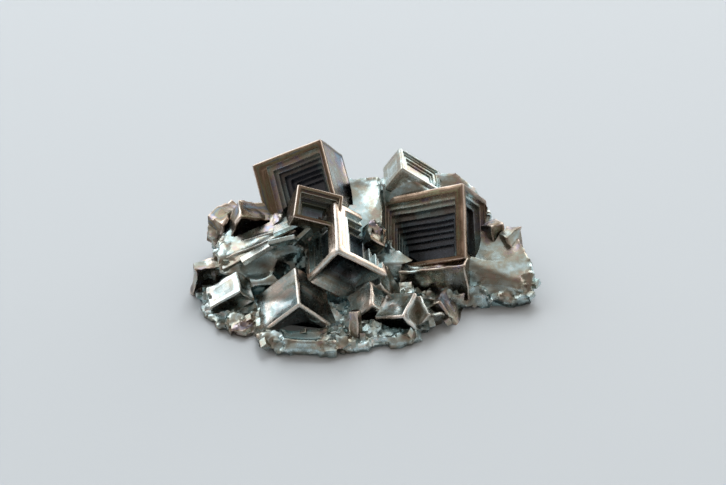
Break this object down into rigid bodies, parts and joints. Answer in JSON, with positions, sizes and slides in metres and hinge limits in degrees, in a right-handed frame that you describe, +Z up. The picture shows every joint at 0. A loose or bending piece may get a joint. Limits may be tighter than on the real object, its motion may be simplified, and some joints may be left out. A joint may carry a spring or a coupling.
{
  "type": "bismuth hopper crystal cluster",
  "caption": "Cluster of bismuth crystals in one piece: skeletal cubes with stepped, sunken faces on a rough slab that rests flat.",
  "frame": {"origin": "middle of the bounding box, on the flat underside", "axes": "+X along the longest side, to the right with the large stepped cube at the front right; +Y to the back; +Z up"},
  "size_m": [0.0446, 0.0296, 0.015],
  "materials": {
    "oxidised_bismuth": "bright metal with a thin iridescent oxide skin, bronze on the rims, blue-black, teal and pale cyan in the hollows"
  },
  "bodies": {
    "root": {"bismuth_cluster": "oxidised_bismuth"}
  },
  "joints": []
}
